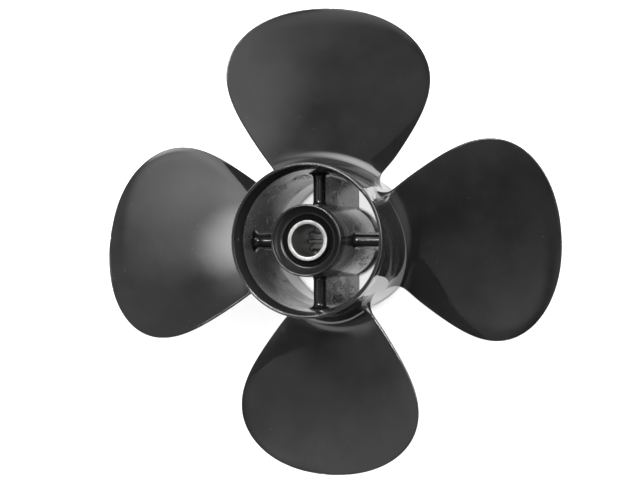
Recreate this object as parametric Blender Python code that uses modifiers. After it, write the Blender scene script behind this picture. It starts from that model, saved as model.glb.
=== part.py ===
"""Four-blade right-hand outboard propeller with through-hub exhaust.

The shaft axis is +Z with the aft end up.  The propeller stands on the forward
end of its barrel, and the origin is the centre of that end.  +Y points along
the first blade and +X along the second, so that seen from aft the blades
follow each other clockwise.  Lengths are in metres.
"""
import math

import bmesh
import bpy
from mathutils import Matrix, Vector

MM = 0.001
GAP = 0.3 * MM                     # clearance left between neighbouring solids

# Driving dimensions of the propeller
TIP_RADIUS = 139.7 * MM            # 11 inch propeller
PITCH = 190.5 * MM                 # 7 1/2 inch, right hand
BLADE_COUNT = 4
HUB_LENGTH = 106.0 * MM
BLADE_PLANE = 50.3 * MM            # height of the blades' centre lines at the rake's zero

# Outer barrel
BARREL_RADIUS = 43.5 * MM
BARREL_FRONT_RADIUS = 42.7 * MM
RING_RADIUS = 44.5 * MM            # aft ring, 3 1/2 inch across
LIP_INNER_RADIUS = 42.6 * MM
LIP_THROAT_RADIUS = 40.6 * MM
LIP_DEPTH = 11.0 * MM
WAIST_RADIUS = 38.9 * MM           # narrowest place, where the two bores meet
WAIST_HEIGHT = 33.5 * MM
FRONT_BORE_RADIUS = 40.2 * MM

# Inner hub
HUB_AFT_RADIUS = 20.7 * MM
HUB_FRONT_RADIUS = 22.7 * MM
HUB_FRONT = 22.5 * MM
HUB_BORE_RADIUS = 18.6 * MM
SHOULDER_RADIUS = 15.0 * MM
SHOULDER_BASE = 88.0 * MM
SHOULDER_TOP = 100.0 * MM
FUNNEL_RADIUS = 19.2 * MM

# Ribs
RIB_FRONT = 1.0 * MM
RIB_AFT = 78.0 * MM
RIB_HALF_AFT = 3.5 * MM
RIB_HALF_FRONT = 6.4 * MM
RIB_FRONT_INNER = 19.5 * MM        # inner edge of the part that stands forward of the hub

# Rubber bush and splined insert
BUSH_BASE = 27.0 * MM
BUSH_TOP = 99.4 * MM               # at its neck, just under the shoulder's edge
BUSH_DISH = 1.4 * MM               # how far its end dips towards the insert
INSERT_BASE = 25.0 * MM
INSERT_TOP = 102.0 * MM
INSERT_RADIUS = 11.7 * MM
INSERT_BORE_RADIUS = 9.4 * MM
SPLINE_TOP = 63.5 * MM
SPLINE_MINOR_RADIUS = 8.0 * MM
SPLINE_MAJOR_RADIUS = 9.2 * MM
SPLINE_TEETH = 13
SPLINE_SLOT_WIDTH = 2.2 * MM

# Blade outline, in angle either side of the blade's centre line
RAKE = 0.1                         # aft lean of the blade, as a slope
RAKE_RADIUS = 0.4                  # radius of no rake, as a share of the tip radius
TIP_LEAN = math.radians(1.6)       # the tip stands clockwise of the rib
LEADING_ANGLE = 0.604
LEADING_POWERS = (2.3, 5.05)
LEADING_WAIST = 0.058              # how far the edge draws in towards the root
TRAILING_ANGLE = 0.64
TRAILING_POWERS = (2.86, 4.55)
TRAILING_WAIST = 0.022
OUTLINE_BASE = 0.2                 # radius share at which the outline curves start
WAIST_START = 0.48                 # radius share at which the edges start to draw in

# Blade thickness
ROOT_THICKNESS = 8.5 * MM
TIP_THICKNESS = 3.0 * MM
EDGE_THICKNESS = 1.8 * MM
FACE_FILLET = 12.0 * MM            # root fillet on the blade's two faces
EDGE_FILLET = 8.0 * MM             # root fillet at the leading and trailing edges
TIP_STATION = 0.997                # the outermost full section, as a share of the tip radius
TIP_EDGE_STATION = 0.9999          # the middle of the tip edge
CHORD_STEPS = 12
EDGE_STEPS = 4                     # facets round the leading and the trailing edge

ROUND_STEPS = 72
SLEEVE_STEPS = 4 * SPLINE_TEETH


def clear_scene():
    for item in list(bpy.data.objects):
        bpy.data.objects.remove(item, do_unlink=True)


def new_collection(name, is_guide=False):
    collection = bpy.data.collections.new(name)
    collection.hide_render = is_guide
    bpy.context.scene.collection.children.link(collection)
    return collection


def paint(name, colour, roughness, metallic):
    material = bpy.data.materials.new(name)
    material.use_nodes = True
    shader = material.node_tree.nodes["Principled BSDF"]
    shader.inputs["Base Color"].default_value = (*colour, 1.0)
    shader.inputs["Roughness"].default_value = roughness
    shader.inputs["Metallic"].default_value = metallic
    material.diffuse_color = (*colour, 1.0)
    return material


def add_object(name, mesh, collection, material=None, sharp_angle=40.0):
    item = bpy.data.objects.new(name, mesh)
    collection.objects.link(item)
    if material:
        mesh.materials.append(material)
    mesh.shade_smooth()
    mesh.set_sharp_from_angle(angle=math.radians(sharp_angle))
    return item


def turned(name, profile, steps, collection, material):
    """Turn a closed (radius, height) profile that runs down its outer side."""
    mesh = bpy.data.meshes.new(name)
    count = len(profile)
    points = [(radius, 0.0, height) for radius, height in profile]
    edges = [(index, (index + 1) % count) for index in range(count)]
    mesh.from_pydata(points, edges, [])
    item = add_object(name, mesh, collection, material)
    screw = item.modifiers.new("turn", "SCREW")
    screw.steps = steps
    screw.render_steps = steps
    screw.use_merge_vertices = True
    screw.merge_threshold = 0.00001
    screw.use_smooth_shade = True
    return item


def arc(centre_radius, centre_height, size, start, end, steps):
    """Points of a round corner in a (radius, height) profile, angles in degrees."""
    points = []
    for index in range(steps + 1):
        angle = math.radians(start + (end - start) * index / steps)
        points.append((centre_radius + size * math.cos(angle), centre_height + size * math.sin(angle)))
    return points


def loft(name, sections, collection, material, has_caps=True):
    """Skin closed sections that all have the same number of points.

    Without caps, the first and the last section have no thickness and close on themselves.
    """
    shape = bmesh.new()
    rings = [[shape.verts.new(point) for point in section] for section in sections]
    for lower, upper in zip(rings, rings[1:]):
        for index, start in enumerate(lower):
            following = (index + 1) % len(lower)
            shape.faces.new((start, lower[following], upper[following], upper[index]))
    if has_caps:
        shape.faces.new(rings[0])
        shape.faces.new(rings[-1])
    else:
        bmesh.ops.remove_doubles(shape, verts=rings[0] + rings[-1], dist=0.00001)
    bmesh.ops.recalc_face_normals(shape, faces=shape.faces)
    mesh = bpy.data.meshes.new(name)
    shape.to_mesh(mesh)
    shape.free()
    return add_object(name, mesh, collection, material)


def mix(start, end, share):
    return start + (end - start) * share


# Barrel ---------------------------------------------------------------------

def barrel_bore(height):
    """Radius of the barrel's inner wall, which narrows from both ends to the waist."""
    if height < WAIST_HEIGHT:
        return mix(FRONT_BORE_RADIUS, WAIST_RADIUS, height / WAIST_HEIGHT)
    throat = HUB_LENGTH - LIP_DEPTH
    return mix(WAIST_RADIUS, LIP_THROAT_RADIUS, (height - WAIST_HEIGHT) / (throat - WAIST_HEIGHT))


def hub_outside(height):
    """Radius of the inner hub's outer wall, which grows towards the front."""
    return mix(HUB_FRONT_RADIUS, HUB_AFT_RADIUS, (height - HUB_FRONT) / (HUB_LENGTH - HUB_FRONT))


def make_barrel(collection, material):
    corner = 1.2 * MM
    front_corner = 0.8 * MM
    flare_base = 90.0 * MM
    flare_top = 101.0 * MM
    front_taper = 10.0 * MM
    profile = arc(RING_RADIUS - corner, HUB_LENGTH - corner, corner, 90.0, 0.0, 4)
    profile += [
        (RING_RADIUS, flare_top),
        (mix(BARREL_RADIUS, RING_RADIUS, 0.5), mix(flare_base, flare_top, 0.5)),
        (BARREL_RADIUS, flare_base),
        (BARREL_RADIUS, front_taper),
    ]
    profile += arc(BARREL_FRONT_RADIUS - front_corner, front_corner, front_corner, 0.0, -90.0, 2)
    profile += [
        (FRONT_BORE_RADIUS, 0.0),
        (WAIST_RADIUS, WAIST_HEIGHT),
        (LIP_THROAT_RADIUS, HUB_LENGTH - LIP_DEPTH),
        (LIP_INNER_RADIUS, HUB_LENGTH),
    ]
    turned("outer_barrel", profile, ROUND_STEPS, collection, material)


# Inner hub ------------------------------------------------------------------

def make_inner_hub(collection, material):
    corner = 1.0 * MM
    rim = 0.5 * (HUB_AFT_RADIUS - FUNNEL_RADIUS)
    profile = arc(HUB_AFT_RADIUS - rim, HUB_LENGTH - rim, rim, 90.0, 0.0, 3)
    profile += arc(HUB_FRONT_RADIUS - corner, HUB_FRONT + corner, corner, 0.0, -90.0, 2)
    profile += [
        (HUB_BORE_RADIUS, HUB_FRONT),
        (HUB_BORE_RADIUS, SHOULDER_BASE),
        (SHOULDER_RADIUS, SHOULDER_BASE),
        (SHOULDER_RADIUS, SHOULDER_TOP),
    ]
    profile += arc(FUNNEL_RADIUS + rim, HUB_LENGTH - rim, rim, 180.0, 120.0, 2)
    turned("inner_hub", profile, ROUND_STEPS, collection, material)


# Ribs -----------------------------------------------------------------------

def rib_half_thickness(height):
    return mix(RIB_HALF_FRONT, RIB_HALF_AFT, (height - RIB_FRONT) / (RIB_AFT - RIB_FRONT))


def rib_section(height, half):
    """A rectangle across the rib, with its ends just clear of the hub and the barrel."""
    clearance = GAP + 0.1 * MM
    inner = hub_outside(height) + clearance
    if height < HUB_FRONT:
        inner = RIB_FRONT_INNER
    wall = barrel_bore(height) - clearance
    outer = math.sqrt(wall * wall - half * half)
    return [Vector((inner, -half, height)), Vector((outer, -half, height)),
            Vector((outer, half, height)), Vector((inner, half, height))]


def make_ribs(collection, material):
    step_base = HUB_FRONT - 0.6 * MM
    heights = [RIB_FRONT, step_base, HUB_FRONT, WAIST_HEIGHT, 0.5 * (WAIST_HEIGHT + RIB_AFT)]
    profile = [(height, rib_half_thickness(height)) for height in heights]
    nose = RIB_HALF_AFT
    for index in range(5):
        angle = math.radians(20.0 * index)
        profile.append((RIB_AFT - nose + nose * math.sin(angle), nose * math.cos(angle)))
    for number in range(BLADE_COUNT):
        turn = Matrix.Rotation(math.pi / 2 - number * 2 * math.pi / BLADE_COUNT, 3, "Z")
        sections = [[turn @ point for point in rib_section(height, half)] for height, half in profile]
        loft("rib_%d" % (number + 1), sections, collection, material)


# Blades ---------------------------------------------------------------------

def outline_angle(share, widest, powers, waist):
    """Half angle of the blade at a share of the tip radius: a superellipse with a waist."""
    along = (share - OUTLINE_BASE) / (1.0 - OUTLINE_BASE)
    angle = widest * max(0.0, 1.0 - along ** powers[1]) ** (1.0 / powers[0])
    near_root = max(0.0, WAIST_START - share) / (WAIST_START - BARREL_RADIUS / TIP_RADIUS)
    return angle - waist * near_root ** 2


def fillet(distance, size):
    """How far a root fillet of the given size stands out, at a distance from the barrel."""
    if distance >= size:
        return 0.0
    return size - math.sqrt(size * size - (size - distance) ** 2)


def blade_point(radius, along, height_above):
    """A point at a length along the helix from the centre line, and above the aft face."""
    slope = math.atan2(PITCH, 2 * math.pi * radius)
    tangential = along * math.cos(slope) + height_above * math.sin(slope)
    axial = -along * math.sin(slope) + height_above * math.cos(slope)
    angle = math.pi / 2 - TIP_LEAN - tangential / radius
    rake = RAKE * (radius - RAKE_RADIUS * TIP_RADIUS)
    return Vector((radius * math.cos(angle), radius * math.sin(angle), BLADE_PLANE + rake + axial))


def blade_section(radius, fullness=1.0):
    """A closed section at one radius, with a round edge at either end.

    The points run along the aft face, round the leading edge, back along the
    forward face and round the trailing edge.  A fullness of 0 flattens the
    section onto its own middle line.
    """
    share = radius / TIP_RADIUS
    slope = math.atan2(PITCH, 2 * math.pi * radius)
    stretch = radius / math.cos(slope)
    leading = outline_angle(share, LEADING_ANGLE, LEADING_POWERS, LEADING_WAIST) * stretch
    trailing = outline_angle(share, TRAILING_ANGLE, TRAILING_POWERS, TRAILING_WAIST) * stretch
    distance = radius - BARREL_RADIUS
    edge_round = 0.5 * EDGE_THICKNESS
    edge_reach = edge_round + fillet(distance, EDGE_FILLET)
    face_flare = fillet(distance, FACE_FILLET)
    outward = distance / (TIP_RADIUS - BARREL_RADIUS)
    thickest = mix(ROOT_THICKNESS, TIP_THICKNESS, outward ** 0.8)
    aft_face = []
    forward_face = []
    for index in range(CHORD_STEPS + 1):
        across = -math.cos(math.pi * index / CHORD_STEPS)
        along = mix(edge_round - trailing, leading - edge_round, 0.5 * (1.0 + across))
        thickness = mix(EDGE_THICKNESS, thickest, (1.0 - across * across) ** 0.7)
        half = fullness * (0.5 * thickness + face_flare)
        aft_face.append(blade_point(radius, along, half - 0.5 * thickness))
        forward_face.append(blade_point(radius, along, -half - 0.5 * thickness))
    edges = []
    for side, end in ((1, leading - edge_round), (-1, edge_round - trailing)):
        for index in range(1, EDGE_STEPS):
            angle = math.pi * index / EDGE_STEPS
            reach = side * edge_reach * math.sin(angle)
            height = side * fullness * (edge_round + face_flare) * math.cos(angle) - edge_round
            edges.append(blade_point(radius, end + reach, height))
    return aft_face + edges[:EDGE_STEPS - 1] + forward_face[::-1] + edges[EDGE_STEPS - 1:]


def blade_sections():
    """From the middle of the root face, out over the root fillet, to the middle of the tip edge."""
    root = BARREL_RADIUS + GAP
    sections = [blade_section(root, share) for share in (0.0, 0.25, 0.5, 0.75)]
    for step in (0.0, 0.9 * MM, 2.4 * MM, 4.6 * MM, 7.4 * MM):
        sections.append(blade_section(root + step))
    station_count = 12
    for index in range(station_count + 1):
        share = math.sin(0.5 * math.pi * index / station_count)
        radius = mix(root + FACE_FILLET, TIP_RADIUS * TIP_STATION, share)
        sections.append(blade_section(radius))
    sections.append(blade_section(TIP_RADIUS * TIP_EDGE_STATION, 0.0))
    return sections


def make_blades(collection, material):
    sections = blade_sections()
    for number in range(BLADE_COUNT):
        turn = Matrix.Rotation(-number * 2 * math.pi / BLADE_COUNT, 3, "Z")
        turned_sections = [[turn @ point for point in section] for section in sections]
        loft("blade_%d" % (number + 1), turned_sections, collection, material, has_caps=False)


# Rubber bush and splined insert ----------------------------------------------

def make_rubber_bush(collection, material):
    bore = INSERT_RADIUS + GAP
    body = HUB_BORE_RADIUS - GAP
    neck = SHOULDER_RADIUS - GAP
    chamfer = 1.0 * MM
    profile = [
        (neck, BUSH_TOP),
        (neck, SHOULDER_BASE - GAP),
        (body - chamfer, SHOULDER_BASE - GAP),
        (body, SHOULDER_BASE - GAP - chamfer),
        (body, BUSH_BASE + chamfer),
        (body - chamfer, BUSH_BASE),
        (bore, BUSH_BASE),
        (bore, BUSH_TOP - BUSH_DISH),
    ]
    turned("rubber_bush", profile, ROUND_STEPS, collection, material)


def make_spline_cutter(collection):
    """One slot for each gap between the teeth, as boxes around the bore."""
    shape = bmesh.new()
    reach = SPLINE_MAJOR_RADIUS - 0.8 * SPLINE_MINOR_RADIUS
    length = SPLINE_TOP - INSERT_BASE + 2 * MM
    middle = 0.5 * (SPLINE_TOP + INSERT_BASE)
    for number in range(SPLINE_TEETH):
        turn = Matrix.Rotation(2 * math.pi * number / SPLINE_TEETH, 4, "Z")
        place = Matrix.Translation((SPLINE_MAJOR_RADIUS - 0.5 * reach, 0.0, middle))
        size = Matrix.Diagonal((reach, SPLINE_SLOT_WIDTH, length, 1.0))
        bmesh.ops.create_cube(shape, size=1.0, matrix=turn @ place @ size)
    mesh = bpy.data.meshes.new("spline_cutter")
    shape.to_mesh(mesh)
    shape.free()
    cutter = add_object("spline_cutter", mesh, collection)
    cutter.hide_render = True
    cutter.display_type = "WIRE"
    return cutter


def make_splined_insert(collection, cutters, material):
    chamfer = 0.4 * MM
    profile = [
        (INSERT_RADIUS - chamfer, INSERT_TOP),
        (INSERT_RADIUS, INSERT_TOP - chamfer),
        (INSERT_RADIUS, INSERT_BASE + chamfer),
        (INSERT_RADIUS - chamfer, INSERT_BASE),
        (SPLINE_MINOR_RADIUS, INSERT_BASE),
        (SPLINE_MINOR_RADIUS, SPLINE_TOP),
        (INSERT_BORE_RADIUS, SPLINE_TOP),
        (INSERT_BORE_RADIUS, INSERT_TOP - chamfer),
        (INSERT_BORE_RADIUS + chamfer, INSERT_TOP),
    ]
    insert = turned("splined_insert", profile, SLEEVE_STEPS, collection, material)
    cut = insert.modifiers.new("splines", "BOOLEAN")
    cut.operation = "DIFFERENCE"
    cut.solver = "EXACT"
    cut.object = make_spline_cutter(cutters)
    axis = bpy.data.objects.new("insert_axis", None)
    collection.objects.link(axis)
    insert.parent = axis


def main():
    clear_scene()
    parts = new_collection("outboard_propeller")
    cutters = new_collection("cutters", is_guide=True)
    black_paint = paint("black_gloss_paint", (0.012, 0.012, 0.013), 0.22, 0.0)
    black_rubber = paint("black_rubber", (0.02, 0.02, 0.02), 0.75, 0.0)
    bright_steel = paint("bright_steel", (0.62, 0.62, 0.61), 0.35, 1.0)
    make_barrel(parts, black_paint)
    make_inner_hub(parts, black_paint)
    make_ribs(parts, black_paint)
    make_blades(parts, black_paint)
    make_rubber_bush(parts, black_rubber)
    make_splined_insert(parts, cutters, bright_steel)


main()
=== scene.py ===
import math

import bpy
from mathutils import Matrix, Vector, noise


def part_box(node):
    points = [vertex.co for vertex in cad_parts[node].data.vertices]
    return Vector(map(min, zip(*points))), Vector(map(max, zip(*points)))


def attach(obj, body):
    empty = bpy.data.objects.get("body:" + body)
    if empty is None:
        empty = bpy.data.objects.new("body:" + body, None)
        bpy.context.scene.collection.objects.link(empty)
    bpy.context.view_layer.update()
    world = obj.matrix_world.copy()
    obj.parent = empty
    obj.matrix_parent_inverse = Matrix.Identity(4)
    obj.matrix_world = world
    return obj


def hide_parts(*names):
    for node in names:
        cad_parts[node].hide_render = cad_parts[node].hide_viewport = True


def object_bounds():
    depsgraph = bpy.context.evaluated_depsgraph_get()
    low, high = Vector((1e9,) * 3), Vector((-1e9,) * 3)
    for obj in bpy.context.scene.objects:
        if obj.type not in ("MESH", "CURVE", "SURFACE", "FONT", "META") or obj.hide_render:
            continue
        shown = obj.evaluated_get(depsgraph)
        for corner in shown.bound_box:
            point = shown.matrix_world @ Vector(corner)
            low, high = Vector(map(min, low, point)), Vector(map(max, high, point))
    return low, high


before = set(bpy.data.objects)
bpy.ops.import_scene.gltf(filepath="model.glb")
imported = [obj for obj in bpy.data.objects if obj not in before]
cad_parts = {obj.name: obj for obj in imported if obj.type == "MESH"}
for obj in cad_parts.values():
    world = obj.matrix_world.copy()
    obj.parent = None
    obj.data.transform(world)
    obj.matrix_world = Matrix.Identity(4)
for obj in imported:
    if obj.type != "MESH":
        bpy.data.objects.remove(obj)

MM = 0.001
GAP = 0.3 * MM                     # clearance round the bush and the insert
FRAME_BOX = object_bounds()

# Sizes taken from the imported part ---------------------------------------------

barrel_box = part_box("outer_barrel")
hub_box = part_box("inner_hub")
rib_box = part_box("rib_1")
bush_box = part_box("rubber_bush")
insert_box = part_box("splined_insert")

HUB_LENGTH = barrel_box[1].z
RING_RADIUS = barrel_box[1].x
HUB_FRONT = hub_box[0].z
HUB_FRONT_RADIUS = hub_box[1].x
RIB_FRONT = rib_box[0].z
RIB_AFT = rib_box[1].z
RIB_HALF_FRONT = rib_box[1].x
BUSH_BASE = bush_box[0].z
BUSH_TOP = bush_box[1].z
INSERT_BASE = insert_box[0].z
INSERT_TOP = insert_box[1].z
INSERT_RADIUS = insert_box[1].x
TIP_RADIUS = FRAME_BOX[1].y

# The rest of the propeller's sizes, as in the part -----------------------------

BLADE_COUNT = 4
PITCH = 190.5 * MM
BLADE_PLANE = 50.3 * MM            # height of the blades' centre lines at the rake's zero

BARREL_RADIUS = 43.5 * MM
BARREL_FRONT_RADIUS = 42.7 * MM
LIP_INNER_RADIUS = 42.6 * MM
LIP_THROAT_RADIUS = 40.6 * MM
LIP_DEPTH = 11.0 * MM
WAIST_RADIUS = 38.9 * MM           # narrowest place, where the two bores meet
WAIST_HEIGHT = 33.5 * MM
FRONT_BORE_RADIUS = 40.2 * MM

HUB_AFT_RADIUS = 20.7 * MM
HUB_BORE_RADIUS = 18.6 * MM
SHOULDER_RADIUS = 15.0 * MM
SHOULDER_BASE = 88.0 * MM
SHOULDER_TOP = 100.0 * MM
FUNNEL_RADIUS = 19.2 * MM

RIB_HALF_AFT = 3.5 * MM
RIB_FILLET = 3.0 * MM
RIB_FILLET_FADE = 0.3              # share of the barrel-side fillet left below the rib's nose
RIB_FOOT = 0.6 * MM                # chamfer at the rib's forward end
RIB_FRONT_INNER = 19.5 * MM        # inner edge of the part that stands forward of the hub

INSERT_BORE_RADIUS = 9.4 * MM
SPLINE_TOP = 63.5 * MM
SPLINE_MINOR_RADIUS = 8.0 * MM
SPLINE_MAJOR_RADIUS = 9.2 * MM
SPLINE_TEETH = 13
SPLINE_SLOT_WIDTH = 2.2 * MM

RAKE = 0.1                         # aft lean of the blade, as a slope
RAKE_RADIUS = 0.4                  # radius of no rake, as a share of the tip radius
TIP_LEAN = math.radians(1.6)
LEADING_ANGLE = 0.604              # half angles of the blade either side of its centre line
LEADING_POWERS = (2.3, 5.05)
LEADING_WAIST = 0.058
TRAILING_ANGLE = 0.64
TRAILING_POWERS = (2.86, 4.55)
TRAILING_WAIST = 0.022
OUTLINE_BASE = 0.2                 # radius share at which the outline curves start
WAIST_START = 0.48                 # radius share at which the edges start to draw in
ROOT_THICKNESS = 8.5 * MM
TIP_THICKNESS = 3.0 * MM
EDGE_THICKNESS = 1.8 * MM
TIP_EDGE = 0.99999                 # the outermost station, as a share of the tip radius
FACE_FILLET = 12.0 * MM            # root fillet on the blade's two faces
EDGE_FILLET = 8.0 * MM             # root fillet at the leading and trailing edges
LEADING_ROLL = 1.0 * MM            # how far the aft face falls away at the leading edge
TRAILING_ROLL = 0.08 * MM
ROLL_WIDTH = 10.0 * MM
ROLL_START = 8.0 * MM              # distances from the barrel between which that sets in
ROLL_FULL = 24.0 * MM
CAST_RIPPLE = 0.03 * MM            # unevenness of the barrel's and the hub's cast walls
RIB_RIPPLE = 0.05 * MM

ROUND_STEPS = 288                  # facets round the barrel
HUB_STEPS = 192
BUSH_STEPS = 144


# Mesh helpers -------------------------------------------------------------------

def mix(start, end, share):
    return start + (end - start) * share


def smooth(low, high, value):
    """0 below low, 1 above high and a smooth step between."""
    share = min(1.0, max(0.0, (value - low) / (high - low)))
    return share * share * (3.0 - 2.0 * share)


def add_mesh(name, points, faces, materials, face_slots=None, sharp_angle=35.0):
    mesh = bpy.data.meshes.new(name)
    mesh.from_pydata(points, [], faces)
    for material in materials:
        mesh.materials.append(material)
    if face_slots is not None:
        mesh.polygons.foreach_set("material_index", face_slots)
    mesh.update()
    mesh.shade_smooth()
    mesh.set_sharp_from_angle(angle=math.radians(sharp_angle))
    item = bpy.data.objects.new(name, mesh)
    bpy.context.scene.collection.objects.link(item)
    return item


def grid_faces(row_count, column_count, wraps_rows, wraps_columns):
    faces = []
    for row in range(row_count if wraps_rows else row_count - 1):
        following_row = (row + 1) % row_count
        for column in range(column_count if wraps_columns else column_count - 1):
            following = (column + 1) % column_count
            faces.append((row * column_count + column, row * column_count + following,
                          following_row * column_count + following,
                          following_row * column_count + column))
    return faces


def arc(centre_radius, centre_height, size, start, end, steps):
    """Points of a round corner in a (radius, height) profile, angles in degrees."""
    points = []
    for index in range(steps + 1):
        angle = math.radians(start + (end - start) * index / steps)
        points.append((centre_radius + size * math.cos(angle),
                       centre_height + size * math.sin(angle)))
    return points


def divided(start, end, longest):
    """Points from start up to end, without end itself, no further apart than longest."""
    length = math.dist(start, end)
    count = max(1, math.ceil(length / longest))
    return [(mix(start[0], end[0], index / count), mix(start[1], end[1], index / count))
            for index in range(count)]


def turned(name, profile, materials, slot_of=None, shift=None, steps=ROUND_STEPS):
    """Turn a closed (radius, height) profile, running down its outer side, about Z."""
    points = []
    for index in range(steps):
        angle = 2 * math.pi * index / steps
        across, up = math.cos(angle), math.sin(angle)
        for radius, height in profile:
            if shift:
                radius += shift(radius, height, Vector((radius * across, radius * up, height)))
            points.append((radius * across, radius * up, height))
    faces = grid_faces(steps, len(profile), True, True)
    slots = None
    if slot_of:
        count = len(profile)
        column_slots = []
        for index in range(count):
            start, end = profile[index], profile[(index + 1) % count]
            column_slots.append(slot_of(0.5 * (start[0] + end[0]), 0.5 * (start[1] + end[1])))
        slots = column_slots * steps
    return add_mesh(name, points, faces, materials, slots)


# Material helpers -----------------------------------------------------------------

def mix_socket(sockets, name):
    """The colour socket of a Mix node, which has one of each name per data type."""
    return [socket for socket in sockets if socket.name == name and socket.type == "RGBA"][0]


class Nodes:
    """Short calls for building one material's node tree."""

    def __init__(self, name):
        self.material = bpy.data.materials.new(name)
        self.material.use_nodes = True
        self.tree = self.material.node_tree
        self.shader = self.tree.nodes["Principled BSDF"]
        self.place = self.tree.nodes.new("ShaderNodeTexCoord").outputs["Object"]

    def new(self, kind, **values):
        node = self.tree.nodes.new(kind)
        for key, value in values.items():
            setattr(node, key, value)
        return node

    def join(self, start, end):
        self.tree.links.new(start, end)

    def noise(self, scale, detail, rough, place=None):
        node = self.new("ShaderNodeTexNoise")
        node.inputs["Scale"].default_value = scale
        node.inputs["Detail"].default_value = detail
        node.inputs["Roughness"].default_value = rough
        self.join(place or self.place, node.inputs["Vector"])
        return node.outputs["Fac"]

    def span(self, source, low, high, start, end):
        """start below low, end above high and a smooth step between."""
        node = self.new("ShaderNodeMapRange", interpolation_type="SMOOTHSTEP")
        self.join(source, node.inputs["Value"])
        node.inputs["From Min"].default_value = low
        node.inputs["From Max"].default_value = high
        node.inputs["To Min"].default_value = start
        node.inputs["To Max"].default_value = end
        return node.outputs["Result"]

    def combine(self, operation, first, second):
        node = self.new("ShaderNodeMath", operation=operation)
        for socket, value in zip(node.inputs, (first, second)):
            if isinstance(value, float):
                socket.default_value = value
            else:
                self.join(value, socket)
        return node.outputs["Value"]

    def blend(self, share, first, second):
        """A colour between two, of which the first may be another node's output."""
        node = self.new("ShaderNodeMix", data_type="RGBA")
        self.join(share, node.inputs["Factor"])
        for name, colour in (("A", first), ("B", second)):
            socket = mix_socket(node.inputs, name)
            if isinstance(colour, tuple):
                socket.default_value = (*colour, 1.0)
            else:
                self.join(colour, socket)
        return mix_socket(node.outputs, "Result")

    def bump(self, height, depth, below=None):
        """A relief of the given depth, on top of the one below."""
        node = self.new("ShaderNodeBump")
        node.inputs["Strength"].default_value = 1.0
        node.inputs["Distance"].default_value = depth
        self.join(height, node.inputs["Height"])
        if below:
            self.join(below, node.inputs["Normal"])
        return node.outputs["Normal"]


def gloss_paint():
    """Black enamel on cast aluminium: even gloss, faint orange peel and a little dust."""
    nodes = Nodes("black_gloss_paint")
    shader = nodes.shader
    shader.inputs["IOR"].default_value = 1.5
    waves = nodes.noise(70.0, 2.0, 0.5)
    peel = nodes.noise(900.0, 2.0, 0.5)
    grain = nodes.noise(3500.0, 1.0, 0.5)
    patches = nodes.noise(35.0, 3.0, 0.6)
    dust_field = nodes.new("ShaderNodeTexVoronoi")
    dust_field.inputs["Scale"].default_value = 160.0
    nodes.join(nodes.place, dust_field.inputs["Vector"])
    dust = nodes.span(dust_field.outputs["Distance"], 0.035, 0.015, 0.0, 1.0)
    base = nodes.blend(nodes.span(patches, 0.35, 0.65, 0.0, 1.0),
                       (0.0105, 0.0105, 0.011), (0.0145, 0.0145, 0.015))
    dusty = nodes.blend(dust, base, (0.22, 0.22, 0.215))
    nodes.join(dusty, shader.inputs["Base Color"])
    roughness = nodes.span(patches, 0.3, 0.7, 0.05, 0.08)
    roughness = nodes.combine("ADD", roughness, nodes.span(grain, 0.3, 0.7, 0.0, 0.03))
    nodes.join(nodes.combine("ADD", roughness, nodes.span(dust, 0.0, 1.0, 0.0, 0.4)),
               shader.inputs["Roughness"])
    relief = nodes.bump(waves, 0.05 * MM)
    relief = nodes.bump(peel, 0.006 * MM, relief)
    relief = nodes.bump(grain, 0.002 * MM, relief)
    nodes.join(relief, shader.inputs["Normal"])
    return nodes.material


def rough_casting(name, roughest, painted_light_lift):
    """Thin black paint on a sand-cast wall, with a highest roughness and painted light that raises
    its greys evenly.
    """
    nodes = Nodes(name)
    shader = nodes.shader
    shader.inputs["IOR"].default_value = 1.5
    lumps = nodes.noise(330.0, 4.0, 0.6)
    sand = nodes.noise(1500.0, 3.0, 0.6)
    patches = nodes.noise(60.0, 3.0, 0.6)
    along_walls = nodes.new("ShaderNodeMapping")
    along_walls.inputs["Scale"].default_value = (1.0, 1.0, 0.35)
    nodes.join(nodes.place, along_walls.inputs["Vector"])
    place = along_walls.outputs["Vector"]
    clusters = nodes.span(nodes.noise(90.0, 2.0, 0.6, place), 0.52, 0.66, 0.0, 1.0)
    specks = nodes.span(nodes.noise(1300.0, 1.0, 0.5, place), 0.5, 0.58, 0.0, 1.0)
    pits = nodes.combine("MULTIPLY", clusters, specks)
    # The greys get an even share of painted light on top of the paint's own tone.
    base = nodes.blend(nodes.span(patches, 0.35, 0.65, 0.0, 1.0),
                       (0.02 + painted_light_lift, 0.02 + painted_light_lift, 0.02 + painted_light_lift),
                       (0.05 + painted_light_lift, 0.05 + painted_light_lift, 0.049 + painted_light_lift))
    nodes.join(base, shader.inputs["Base Color"])
    roughness = nodes.span(patches, 0.3, 0.7, 0.6 * roughest, roughest)
    nodes.join(nodes.combine("ADD", roughness, nodes.span(pits, 0.0, 1.0, 0.0, 0.35)),
               shader.inputs["Roughness"])
    relief = nodes.bump(lumps, 0.03 * MM)
    relief = nodes.bump(nodes.span(pits, 0.0, 1.0, 1.0, 0.0), 0.45 * MM, relief)
    relief = nodes.bump(sand, 0.012 * MM, relief)
    nodes.join(relief, shader.inputs["Normal"])
    return nodes.material


def rubber():
    """Matt black moulded rubber with a fine speckle."""
    nodes = Nodes("black_bush_rubber")
    shader = nodes.shader
    speckle = nodes.noise(1800.0, 2.0, 0.6)
    bloom = nodes.noise(220.0, 3.0, 0.6)
    base = nodes.blend(nodes.span(speckle, 0.5, 0.75, 0.0, 1.0),
                       (0.002, 0.002, 0.002), (0.02, 0.02, 0.02))
    nodes.join(base, shader.inputs["Base Color"])
    nodes.join(nodes.span(bloom, 0.3, 0.7, 0.6, 0.8), shader.inputs["Roughness"])
    shader.inputs["Specular IOR Level"].default_value = 0.08
    relief = nodes.bump(bloom, 0.15 * MM)
    relief = nodes.bump(speckle, 0.08 * MM, relief)
    nodes.join(relief, shader.inputs["Normal"])
    return nodes.material


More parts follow.
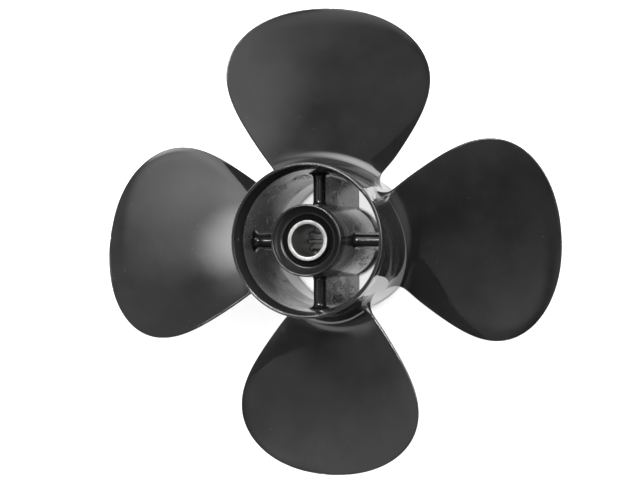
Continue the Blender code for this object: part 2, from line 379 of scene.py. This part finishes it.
def turned_steel():
    """Machined steel with faint tool marks round the axis."""
    nodes = Nodes("machined_insert_steel")
    shader = nodes.shader
    shader.inputs["Metallic"].default_value = 1.0
    shader.inputs["Anisotropic"].default_value = 0.3
    apart = nodes.new("ShaderNodeSeparateXYZ")
    nodes.join(nodes.place, apart.inputs["Vector"])
    square = nodes.combine("ADD", nodes.combine("MULTIPLY", apart.outputs["X"], apart.outputs["X"]),
                       nodes.combine("MULTIPLY", apart.outputs["Y"], apart.outputs["Y"]))
    radius = nodes.combine("SQRT", square, 0.0)
    rings = nodes.new("ShaderNodeCombineXYZ")
    nodes.join(radius, rings.inputs["X"])
    nodes.join(apart.outputs["Z"], rings.inputs["Y"])
    tool_marks = nodes.noise(4200.0, 2.0, 0.6, rings.outputs["Vector"])
    patches = nodes.noise(260.0, 3.0, 0.6)
    base = nodes.blend(nodes.span(patches, 0.35, 0.7, 0.0, 1.0),
                       (0.3, 0.3, 0.295), (0.23, 0.23, 0.225))
    nodes.join(base, shader.inputs["Base Color"])
    roughness = nodes.combine("ADD", nodes.span(patches, 0.3, 0.7, 0.4, 0.5),
                          nodes.span(tool_marks, 0.3, 0.7, 0.0, 0.08))
    nodes.join(roughness, shader.inputs["Roughness"])
    relief = nodes.bump(tool_marks, 0.01 * MM)
    nodes.join(relief, shader.inputs["Normal"])
    return nodes.material


# Casting: barrel, inner hub and ribs ---------------------------------------------

def barrel_bore(height):
    """Radius of the barrel's inner wall, which narrows from both ends to the waist."""
    if height < WAIST_HEIGHT:
        return mix(FRONT_BORE_RADIUS, WAIST_RADIUS, height / WAIST_HEIGHT)
    throat = HUB_LENGTH - LIP_DEPTH
    share = (height - WAIST_HEIGHT) / (throat - WAIST_HEIGHT)
    return mix(WAIST_RADIUS, LIP_THROAT_RADIUS, share)


def hub_outside(height):
    """Radius of the inner hub's outer wall, which grows towards the front."""
    return mix(HUB_FRONT_RADIUS, HUB_AFT_RADIUS, (height - HUB_FRONT) / (HUB_LENGTH - HUB_FRONT))


def cast_ripple(place, depth):
    """Unevenness of a sand-cast wall."""
    broad = noise.noise(place * 160.0)
    fine = noise.noise(place * 420.0 + Vector((7.1, 3.3, 5.7)))
    return depth * (0.65 * broad + 0.35 * fine)


def make_barrel(paint, casting):
    """The exhaust tube, with a flared ring, a tapered lip and a thick edge of paint round it."""
    corner = 1.1 * MM
    bead_width = 0.4 * MM
    bead_height = 0.07 * MM
    lip_corner = 0.2 * MM
    front_corner = 0.8 * MM
    bore_corner = 0.5 * MM
    bore_start = 0.7 * MM
    flare_base = 90.0 * MM
    flare_top = 101.0 * MM
    front_taper = 10.0 * MM
    throat = HUB_LENGTH - LIP_DEPTH
    profile = arc(RING_RADIUS - corner, HUB_LENGTH - corner, corner, 90.0, 0.0, 10)
    flare_steps = 14
    for index in range(flare_steps + 1):
        share = index / flare_steps
        blend = 0.5 + 0.5 * math.cos(math.pi * share)
        profile.append((mix(BARREL_RADIUS, RING_RADIUS, blend), mix(flare_top, flare_base, share)))
    profile += divided((BARREL_RADIUS, flare_base), (BARREL_RADIUS, front_taper), 4 * MM)[1:]
    profile += divided((BARREL_RADIUS, front_taper), (BARREL_FRONT_RADIUS, front_corner), 2 * MM)
    profile += arc(BARREL_FRONT_RADIUS - front_corner, front_corner, front_corner, 0.0, -90.0, 6)
    profile += arc(FRONT_BORE_RADIUS + bore_corner, bore_corner, bore_corner, 270.0, 182.0, 4)
    profile += divided((barrel_bore(bore_start), bore_start), (WAIST_RADIUS, WAIST_HEIGHT), 3 * MM)
    profile += divided((WAIST_RADIUS, WAIST_HEIGHT), (LIP_THROAT_RADIUS, throat), 1.1 * MM)
    lip_curve = 1.25
    lip_steps = 10
    lip_end = HUB_LENGTH - bead_height - lip_corner
    for index in range(lip_steps):
        share = index / lip_steps
        profile.append((mix(LIP_THROAT_RADIUS, LIP_INNER_RADIUS, share ** lip_curve),
                        mix(throat, lip_end, share)))
    profile += arc(LIP_INNER_RADIUS + lip_corner, lip_end, lip_corner, 180.0, 90.0, 6)
    bead_steps = 10
    for index in range(bead_steps):
        share = index / bead_steps
        profile.append((RING_RADIUS - corner - bead_width * (1.0 - share),
                        HUB_LENGTH - bead_height * (1.0 - smooth(0.0, 1.0, share))))

    def is_cast(radius, height):
        return radius < LIP_INNER_RADIUS and WAIST_HEIGHT < height < throat

    def ripple(radius, height, place):
        if not is_cast(radius, height):
            return 0.0
        edge = smooth(0.0, 2 * MM, height - WAIST_HEIGHT) * smooth(0.0, 2 * MM, throat - height)
        return edge * cast_ripple(place, CAST_RIPPLE)

    skin = turned("barrel_skin", profile, [paint, casting],
                  lambda radius, height: 1 if is_cast(radius, height) else 0, ripple)
    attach(skin, "casting")
    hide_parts("outer_barrel")
    return skin


def make_inner_hub(paint, casting):
    """The tube that holds the bush, with a round rim, a funnel and a shoulder inside."""
    corner = 1.0 * MM
    rim = 0.5 * (HUB_AFT_RADIUS - FUNNEL_RADIUS)
    smooth_band = 96.0 * MM            # above this height the outer wall is smooth
    shoulder_corner = 0.2 * MM
    funnel_curve = 1.4
    profile = arc(HUB_AFT_RADIUS - rim, HUB_LENGTH - rim, rim, 90.0, 0.0, 8)
    profile += divided((hub_outside(smooth_band), smooth_band),
                       (hub_outside(HUB_FRONT + corner), HUB_FRONT + corner), 1.3 * MM)
    profile += arc(HUB_FRONT_RADIUS - corner, HUB_FRONT + corner, corner, 0.0, -90.0, 6)
    profile += [(HUB_BORE_RADIUS, HUB_FRONT)]
    profile += [(HUB_BORE_RADIUS, SHOULDER_BASE), (SHOULDER_RADIUS, SHOULDER_BASE)]
    profile += arc(SHOULDER_RADIUS + shoulder_corner, SHOULDER_TOP - shoulder_corner,
                   shoulder_corner, 180.0, 105.0, 4)
    funnel_steps = 8
    for index in range(funnel_steps):
        share = index / funnel_steps
        profile.append((mix(SHOULDER_RADIUS + 0.3 * MM, FUNNEL_RADIUS, share),
                        mix(SHOULDER_TOP, HUB_LENGTH - rim, share ** funnel_curve)))
    profile += arc(FUNNEL_RADIUS + rim, HUB_LENGTH - rim, rim, 180.0, 100.0, 6)

    def is_cast(radius, height):
        return radius > HUB_BORE_RADIUS + 1 * MM and HUB_FRONT + corner < height < smooth_band

    def ripple(radius, height, place):
        if not is_cast(radius, height):
            return 0.0
        edge = smooth(0.0, 4 * MM, smooth_band - height)
        return edge * cast_ripple(place, CAST_RIPPLE)

    skin = turned("inner_hub_skin", profile, [paint, casting],
                  lambda radius, height: 1 if is_cast(radius, height) else 0, ripple, HUB_STEPS)
    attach(skin, "casting")
    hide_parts("inner_hub")
    return skin


def fillet(distance, size):
    """How far a fillet of the given size stands out at a distance from the wall it meets."""
    if distance >= size:
        return 0.0
    if distance <= 0.0:
        return size
    return size - math.sqrt(size * size - (size - distance) ** 2)


def rib_outline(to_hub, to_barrel):
    """(offset, height) round a rib, at its distances from the hub's and the barrel's walls."""
    side_steps = 34
    nose_steps = 16
    top_flare = fillet(to_barrel, RIB_FILLET) + fillet(to_hub, RIB_FILLET)
    nose_half = RIB_HALF_AFT + top_flare
    nose_base = RIB_AFT - RIB_HALF_AFT
    section = []
    for index in range(side_steps + 1):
        height = mix(RIB_FRONT + RIB_FOOT, nose_base, index / side_steps)
        half = mix(RIB_HALF_FRONT, RIB_HALF_AFT,
                   (height - RIB_FRONT) / (RIB_AFT - RIB_FRONT))
        hub_share = smooth(HUB_FRONT - 1 * MM, HUB_FRONT + 4 * MM, height)
        wall_share = mix(RIB_FILLET_FADE, 1.0, smooth(nose_base - 9 * MM, nose_base, height))
        flare = wall_share * fillet(to_barrel, RIB_FILLET)
        flare += hub_share * fillet(to_hub, RIB_FILLET)
        section.append((half + flare, height))
    last_half = section[-1][0]
    angles = [math.pi * index / nose_steps for index in range(1, nose_steps)]
    nose = [(last_half * math.cos(angle), nose_base + nose_half * math.sin(angle))
            for angle in angles]
    foot_half = section[0][0] - RIB_FOOT
    other_side = [(-half, height) for half, height in reversed(section)]
    return [(foot_half, RIB_FRONT)] + section + nose + other_side + [(-foot_half, RIB_FRONT)]


def make_rib(number, paint, casting):
    """A web from inside the hub's wall to inside the barrel's, with a round aft nose."""
    across_steps = 30
    sink = 0.25 * MM
    points = []
    columns = 0
    for station in range(across_steps + 1):
        share = station / across_steps
        share = 0.5 - 0.5 * math.cos(math.pi * share)
        middle = mix(HUB_AFT_RADIUS, LIP_THROAT_RADIUS, share)
        to_barrel = barrel_bore(RIB_AFT) - middle
        to_hub = middle - hub_outside(RIB_AFT)
        outline = rib_outline(to_hub, to_barrel)
        columns = len(outline)
        for offset, height in outline:
            outer_wall = barrel_bore(height) + sink
            outer = math.sqrt(outer_wall ** 2 - offset ** 2)
            points.append((mix(RIB_FRONT_INNER, outer, share), offset, height))
    faces = grid_faces(across_steps + 1, columns, False, True)
    faces.append(tuple(range(columns)))
    faces.append(tuple(range(across_steps * columns, (across_steps + 1) * columns))[::-1])
    turn = Matrix.Rotation(math.pi / 2 - number * 2 * math.pi / BLADE_COUNT, 3, "Z")
    placed = []
    for point in points:
        here = Vector(point)
        offset = math.copysign(1.0, here.y) * cast_ripple(turn @ here, RIB_RIPPLE)
        placed.append(turn @ (here + Vector((0.0, offset, 0.0))))
    slots = []
    for face in faces:
        height = sum(points[index][2] for index in face) / len(face)
        slots.append(1 if RIB_FRONT + RIB_FOOT < height < RIB_AFT - RIB_HALF_AFT else 0)
    rib = add_mesh("rib_skin_%d" % (number + 1), placed, faces, [paint, casting], slots, 50.0)
    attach(rib, "casting")
    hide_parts("rib_%d" % (number + 1))
    return rib


# Blades -----------------------------------------------------------------------------

def outline_angle(share, widest, powers, waist):
    """Half angle of the blade at a share of the tip radius: a superellipse with a waist."""
    along = (share - OUTLINE_BASE) / (1.0 - OUTLINE_BASE)
    angle = widest * max(0.0, 1.0 - along ** powers[1]) ** (1.0 / powers[0])
    near_root = max(0.0, WAIST_START - share) / (WAIST_START - BARREL_RADIUS / TIP_RADIUS)
    return angle - waist * near_root ** 2


def blade_point(radius, along, height_above):
    """A point on a helix, along it from the centre line and above it."""
    slope = math.atan2(PITCH, 2 * math.pi * radius)
    tangential = along * math.cos(slope) + height_above * math.sin(slope)
    axial = -along * math.sin(slope) + height_above * math.cos(slope)
    angle = math.pi / 2 - TIP_LEAN - tangential / radius
    rake = RAKE * (radius - RAKE_RADIUS * TIP_RADIUS)
    return (radius * math.cos(angle), radius * math.sin(angle), BLADE_PLANE + rake + axial)


def edge_reach_at(radius, widest, powers, waist):
    """Chordwise distance from the centre line to the edge, and how that changes with radius."""
    def reach(at):
        slope = math.atan2(PITCH, 2 * math.pi * at)
        return outline_angle(at / TIP_RADIUS, widest, powers, waist) * at / math.cos(slope)

    step = 0.02 * MM
    inner = max(BARREL_RADIUS, radius - step)
    outer = min(TIP_RADIUS, radius + step)
    return reach(radius), (reach(outer) - reach(inner)) / (outer - inner)


def roll_off(from_edge, from_barrel, across):
    """How far the aft face falls away close to the blade's edge, more so at the leading one."""
    share = max(0.0, 1.0 - from_edge / ROLL_WIDTH)
    depth = mix(TRAILING_ROLL, LEADING_ROLL, 0.5 * (1.0 + across))
    return depth * share * share * smooth(ROLL_START, ROLL_FULL, from_barrel)


def blade_section(radius, fullness=1.0):
    """The closed section at a radius: aft face, leading edge, forward face, trailing edge."""
    chord_steps = 44
    edge_steps = 14
    leading, leading_rate = edge_reach_at(radius, LEADING_ANGLE, LEADING_POWERS, LEADING_WAIST)
    trailing, trailing_rate = edge_reach_at(radius, TRAILING_ANGLE, TRAILING_POWERS, TRAILING_WAIST)
    distance = radius - BARREL_RADIUS
    edge_round = 0.5 * EDGE_THICKNESS
    chord = leading + trailing
    leading_round = min(edge_round * math.hypot(1.0, leading_rate), 0.25 * chord)
    trailing_round = min(edge_round * math.hypot(1.0, trailing_rate), 0.25 * chord)
    edge_fillet = fillet(distance, EDGE_FILLET)
    face_flare = fillet(distance, FACE_FILLET)
    outward = max(0.0, distance) / (TIP_RADIUS - BARREL_RADIUS)
    thickest = mix(ROOT_THICKNESS, TIP_THICKNESS, outward ** 0.8)
    to_tip = min(1.0, max(0.0, (TIP_RADIUS - radius) / edge_round))
    fullness = fullness * math.sqrt(max(0.0, 1.0 - (1.0 - to_tip) ** 2))
    aft_face = []
    forward_face = []
    for index in range(chord_steps + 1):
        across = -math.cos(math.pi * index / chord_steps)
        along = mix(trailing_round - trailing, leading - leading_round, 0.5 * (1.0 + across))
        thickness = mix(EDGE_THICKNESS, thickest, (1.0 - across * across) ** 0.7)
        half = fullness * (0.5 * thickness + face_flare)
        from_side = min(along + trailing, leading - along)
        from_tip = TIP_RADIUS - radius
        from_edge = from_side * from_tip / max(0.1 * MM, math.hypot(from_side, from_tip))
        drop = roll_off(from_edge, distance, across)
        aft_face.append(blade_point(radius, along, half - 0.5 * thickness - drop))
        forward_face.append(blade_point(radius, along, -half - 0.5 * thickness))
    edges = []
    for side, end, size in ((1, leading - leading_round, leading_round),
                            (-1, trailing_round - trailing, trailing_round)):
        from_tip = TIP_RADIUS - radius
        from_edge = size * from_tip / max(0.1 * MM, math.hypot(size, from_tip))
        drop = 0.5 * roll_off(from_edge, distance, float(side))
        for index in range(1, edge_steps):
            angle = math.pi * index / edge_steps
            reach = side * (size + edge_fillet) * math.sin(angle)
            half = fullness * (edge_round + face_flare) - drop
            height = side * half * math.cos(angle) - edge_round - drop
            edges.append(blade_point(radius, end + reach, height))
    split = edge_steps - 1
    return aft_face + edges[:split] + forward_face[::-1] + edges[split:]


def blade_stations():
    """Radii from the barrel's wall, over the root fillet, out to the tip edge."""
    outer_share = 0.86
    fillet_steps, middle_steps, outer_steps = 14, 26, 34
    stations = []
    for index in range(fillet_steps + 1):
        angle = 0.5 * math.pi * index / fillet_steps
        stations.append(BARREL_RADIUS + FACE_FILLET * (1.0 - math.cos(angle)))
    root_end = BARREL_RADIUS + FACE_FILLET
    for index in range(1, middle_steps + 1):
        stations.append(mix(root_end, outer_share * TIP_RADIUS, index / middle_steps))
    base = OUTLINE_BASE
    power_along = 0.5 * (LEADING_POWERS[1] + TRAILING_POWERS[1])
    power_angle = 0.5 * (LEADING_POWERS[0] + TRAILING_POWERS[0])
    start_along = (outer_share - base) / (1.0 - base)
    start_width = (1.0 - start_along ** power_along) ** (1.0 / power_angle)
    for index in range(1, outer_steps):
        width = start_width * (1.0 - index / outer_steps)
        along = (1.0 - width ** power_angle) ** (1.0 / power_along)
        stations.append(TIP_RADIUS * (base + (1.0 - base) * along))
    stations.append(TIP_EDGE * TIP_RADIUS)
    return stations


def blade_sections():
    """Sections that close up inside the barrel's wall, then those out to the tip."""
    root = BARREL_RADIUS - 0.1 * MM
    sections = [blade_section(root, fullness) for fullness in (0.0, 0.25, 0.5, 0.75)]
    return sections + [blade_section(radius) for radius in blade_stations()]


def make_blade(number, paint, sections):
    turn = Matrix.Rotation(-number * 2 * math.pi / BLADE_COUNT, 3, "Z")
    columns = len(sections[0])
    points = [turn @ Vector(point) for section in sections for point in section]
    faces = grid_faces(len(sections), columns, False, True)
    blade = add_mesh("blade_skin_%d" % (number + 1), points, faces, [paint], None, 60.0)
    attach(blade, "casting")
    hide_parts("blade_%d" % (number + 1))
    return blade


# Rubber bush and splined insert ---------------------------------------------------------

def make_bush(material):
    """The bush: a body inside the hub, a neck in its shoulder and a dished aft end."""
    bore = INSERT_RADIUS + GAP
    body = bush_box[1].x
    neck = SHOULDER_RADIUS - GAP
    dish = 1.4 * MM                    # how far the end dips towards the insert
    top_round = 0.25 * MM
    profile = arc(neck - top_round, BUSH_TOP - top_round, top_round, 90.0, 0.0, 8)
    profile += [(neck, SHOULDER_BASE - GAP)]
    profile += arc(body - 1 * MM, SHOULDER_BASE - GAP - 1 * MM, 1 * MM, 90.0, 0.0, 5)
    profile += arc(body - 1 * MM, BUSH_BASE + 1 * MM, 1 * MM, 0.0, -90.0, 5)
    profile += arc(bore + 0.4 * MM, BUSH_BASE + 0.4 * MM, 0.4 * MM, 270.0, 180.0, 4)
    profile += arc(bore + 0.3 * MM, BUSH_TOP - dish - 0.3 * MM, 0.3 * MM, 180.0, 95.0, 4)
    bush = turned("rubber_bush_skin", profile, [material], steps=BUSH_STEPS)
    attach(bush, "casting")
    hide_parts("rubber_bush")
    return bush


def insert_ring(radii, height):
    """Points round the axis at one height, one for each radius."""
    count = len(radii)
    return [(radius * math.cos(2 * math.pi * index / count),
             radius * math.sin(2 * math.pi * index / count), height)
            for index, radius in enumerate(radii)]


def spline_radii(steps):
    """Bore radius round the splines: slots at the tooth gaps, with eased corners."""
    radii = []
    slot_half = 0.5 * SPLINE_SLOT_WIDTH / SPLINE_MAJOR_RADIUS
    ease = 0.25 * slot_half
    pitch_angle = 2 * math.pi / SPLINE_TEETH
    for index in range(steps):
        angle = (2 * math.pi * index / steps) % pitch_angle
        off_slot = min(angle, pitch_angle - angle)
        share = 1.0 - smooth(slot_half - ease, slot_half + ease, off_slot)
        radii.append(mix(SPLINE_MINOR_RADIUS, SPLINE_MAJOR_RADIUS, share))
    return radii


def make_insert(material):
    """The sleeve: rows round its outer side, splined bore and plain aft bore."""
    steps = SPLINE_TEETH * 32
    round_edge = 0.22 * MM
    splines = spline_radii(steps)
    rows = []
    for radius, height in arc(INSERT_RADIUS - round_edge, INSERT_TOP - round_edge,
                              round_edge, 90.0, 0.0, 6):
        rows.append(([radius] * steps, height))
    for radius, height in arc(INSERT_RADIUS - round_edge, INSERT_BASE + round_edge,
                              round_edge, 0.0, -90.0, 5):
        rows.append(([radius] * steps, height))
    rows.append(([radius + 0.4 * MM for radius in splines], INSERT_BASE))
    rows.append((splines, INSERT_BASE + 0.5 * MM))
    rows.append((splines, SPLINE_TOP - 0.7 * MM))
    rows.append(([mix(radius, INSERT_BORE_RADIUS, 0.85) for radius in splines], SPLINE_TOP))
    rows.append(([INSERT_BORE_RADIUS] * steps, SPLINE_TOP + 0.02 * MM))
    for radius, height in arc(INSERT_BORE_RADIUS + round_edge, INSERT_TOP - round_edge,
                              round_edge, 180.0, 100.0, 6):
        rows.append(([radius] * steps, height))
    points = [point for radii, height in rows for point in insert_ring(radii, height)]
    faces = [face[::-1] for face in grid_faces(len(rows), steps, True, True)]
    insert = add_mesh("splined_insert_skin", points, faces, [material], None, 30.0)
    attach(insert, "insert")
    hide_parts("splined_insert")
    return insert


# Stage: floor, light and camera ------------------------------------------------------------

# Bright areas round the studio: azimuth from +X and tilt from straight up, the half-angles
# where each is full and where it ends, all in degrees, and its brightness. The last five are a
# row of small bright lamps.
SURROUNDINGS = (
    (25.0, 70.0, 4.0, 30.0, 9.0),
    (98.0, 57.0, 3.0, 20.0, 6.5),
    (106.0, 72.0, 4.0, 30.0, 3.0),
    (72.0, 52.0, 3.0, 20.0, 1.8),
    (90.0, 40.0, 3.0, 22.0, 1.8),
    (195.0, 30.0, 4.0, 24.0, 0.65),
    (60.0, 22.0, 4.0, 26.0, 1.3),
    (196.0, 79.0, 4.0, 14.0, 1.5),
    (330.0, 70.0, 4.0, 35.0, 0.7),
    (210.0, 60.0, 5.0, 40.0, 0.4),
    (48.0, 55.0, 10.0, 50.0, 0.45),
    (150.0, 42.0, 4.0, 30.0, 0.5),
    (300.0, 26.0, 4.0, 26.0, 0.35),
    (90.0, 15.0, 1.5, 2.7, 100.0),
    (107.0, 16.5, 1.5, 2.7, 120.0),
    (123.0, 18.0, 1.5, 2.7, 120.0),
    (139.0, 19.5, 1.5, 2.7, 60.0),
    (148.0, 20.5, 1.0, 2.2, 60.0),
)
BASE_LIGHT = 0.03
BACKDROP = 1.0                     # what the camera sees behind the floor
WASH_ENERGY = 3.3
WASH_AIM = Vector((0.045, 0.0, 1.0))

# The camera's place, in nominal tip radii from the axis at the blades' plane, and its turn
CAMERA_UNIT = 139.7 * MM
CAMERA_DISTANCE = 6.24021
CAMERA_OFFSET = (0.0430, -0.00549)
CAMERA_YAW, CAMERA_PITCH, CAMERA_ROLL = 0.25998, -0.00991, 0.0031
CAMERA_LENS = 81.12


def make_floor():
    """A plain floor just under the propeller."""
    half = 6.0
    mesh = bpy.data.meshes.new("studio_floor")
    mesh.from_pydata([(-half, -half, 0.0), (half, -half, 0.0), (half, half, 0.0),
                      (-half, half, 0.0)], [], [(0, 1, 2, 3)])
    floor = bpy.data.objects.new("studio_floor", mesh)
    floor.location.z = -0.05 * MM
    bpy.context.scene.collection.objects.link(floor)
    material = bpy.data.materials.new("white_floor")
    material.use_nodes = True
    shader = material.node_tree.nodes["Principled BSDF"]
    shader.inputs["Base Color"].default_value = (0.74, 0.74, 0.74, 1.0)
    shader.inputs["Roughness"].default_value = 0.9
    shader.inputs["Specular IOR Level"].default_value = 0.0
    mesh.materials.append(material)
    return floor


def aimed(azimuth, tilt):
    """A direction at an azimuth from +X and a tilt from straight up, in degrees."""
    turn, lean = math.radians(azimuth), math.radians(tilt)
    return (math.sin(lean) * math.cos(turn), math.sin(lean) * math.sin(turn), math.cos(lean))


def make_world(lobes, base):
    """Soft surroundings, an even base and bright lobes, and a plain backdrop for the camera."""
    world = bpy.data.worlds.new("soft_studio")
    bpy.context.scene.world = world
    world.use_nodes = True
    tree = world.node_tree
    background = tree.nodes["Background"]
    direction = tree.nodes.new("ShaderNodeTexCoord").outputs["Generated"]
    total = None
    for azimuth, tilt, inner, outer, strength in lobes:
        dot = tree.nodes.new("ShaderNodeVectorMath")
        dot.operation = "DOT_PRODUCT"
        tree.links.new(direction, dot.inputs[0])
        dot.inputs[1].default_value = aimed(azimuth, tilt)
        ramp = tree.nodes.new("ShaderNodeMapRange")
        ramp.interpolation_type = "SMOOTHSTEP"
        tree.links.new(dot.outputs["Value"], ramp.inputs["Value"])
        ramp.inputs["From Min"].default_value = math.cos(math.radians(outer))
        ramp.inputs["From Max"].default_value = math.cos(math.radians(inner))
        ramp.inputs["To Min"].default_value = 0.0
        ramp.inputs["To Max"].default_value = strength
        if total is None:
            total = ramp.outputs["Result"]
            continue
        add = tree.nodes.new("ShaderNodeMath")
        add.operation = "ADD"
        tree.links.new(total, add.inputs[0])
        tree.links.new(ramp.outputs["Result"], add.inputs[1])
        total = add.outputs["Value"]
    add = tree.nodes.new("ShaderNodeMath")
    add.operation = "ADD"
    tree.links.new(total, add.inputs[0])
    add.inputs[1].default_value = base
    is_seen = tree.nodes.new("ShaderNodeLightPath").outputs["Is Camera Ray"]
    seen = tree.nodes.new("ShaderNodeMapRange")
    tree.links.new(is_seen, seen.inputs["Value"])
    tree.links.new(add.outputs["Value"], seen.inputs["To Min"])
    seen.inputs["To Max"].default_value = BACKDROP
    tree.links.new(seen.outputs["Result"], background.inputs["Strength"])
    background.inputs["Color"].default_value = (1.0, 1.0, 1.0, 1.0)


def make_camera():
    """The photograph's viewing angle: from aft, 15 degrees off the axis."""
    yaw, pitch, roll = CAMERA_YAW, CAMERA_PITCH, CAMERA_ROLL
    across, along = CAMERA_OFFSET
    back = Vector((math.sin(yaw) * math.cos(pitch), math.sin(pitch),
                   math.cos(yaw) * math.cos(pitch)))
    right = Vector((math.cos(yaw), 0.0, -math.sin(yaw)))
    up = back.cross(right)
    right_turned = math.cos(roll) * right - math.sin(roll) * up
    up_turned = math.sin(roll) * right + math.cos(roll) * up
    place = Vector((0.0, 0.0, BLADE_PLANE)) + CAMERA_UNIT * (
        CAMERA_DISTANCE * back - across * right_turned - along * up_turned)
    data = bpy.data.cameras.new("photo_camera")
    data.sensor_width = 36.0
    data.lens = CAMERA_LENS
    data.clip_start = 0.01
    data.clip_end = 50.0
    camera = bpy.data.objects.new("photo_camera", data)
    camera.matrix_world = Matrix((
        (right_turned.x, up_turned.x, back.x, place.x),
        (right_turned.y, up_turned.y, back.y, place.y),
        (right_turned.z, up_turned.z, back.z, place.z),
        (0.0, 0.0, 0.0, 1.0)))
    bpy.context.scene.collection.objects.link(camera)
    bpy.context.scene.camera = camera


def make_floor_wash(floor, blockers):
    """A soft light from above for the floor alone, shaded only by the hub."""
    data = bpy.data.lights.new("floor_wash", "SUN")
    data.energy = WASH_ENERGY
    data.angle = math.radians(6.0)
    lamp = bpy.data.objects.new("floor_wash", data)
    aim = WASH_AIM.normalized()
    lamp.rotation_mode = "QUATERNION"
    lamp.rotation_quaternion = aim.to_track_quat("Z", "Y")
    bpy.context.scene.collection.objects.link(lamp)
    lit = bpy.data.collections.new("lit_by_wash")
    lit.objects.link(floor)
    shading = bpy.data.collections.new("shading_the_wash")
    for item in blockers:
        shading.objects.link(item)
    lamp.light_linking.receiver_collection = lit
    lamp.light_linking.blocker_collection = shading


def main():
    scene = bpy.context.scene
    scene.view_settings.view_transform = "Standard"
    paint = gloss_paint()
    # Three copies of one cast paint. Painted light raises their greys most on the barrel's wall and
    # least on the ribs.
    wall_casting = rough_casting("black_paint_on_barrel_casting", 0.27, 0.06)
    hub_casting = rough_casting("black_paint_on_hub_casting", 0.2, 0.02)
    rib_casting = rough_casting("black_paint_on_rib_casting", 0.3, 0.01)
    hub_pieces = [make_barrel(paint, wall_casting), make_inner_hub(paint, hub_casting)]
    hub_pieces += [make_rib(number, paint, rib_casting) for number in range(BLADE_COUNT)]
    sections = blade_sections()
    for number in range(BLADE_COUNT):
        make_blade(number, paint, sections)
    make_bush(rubber())
    make_insert(turned_steel())
    floor = make_floor()
    make_floor_wash(floor, hub_pieces)
    make_world(SURROUNDINGS, BASE_LIGHT)
    make_camera()


main()
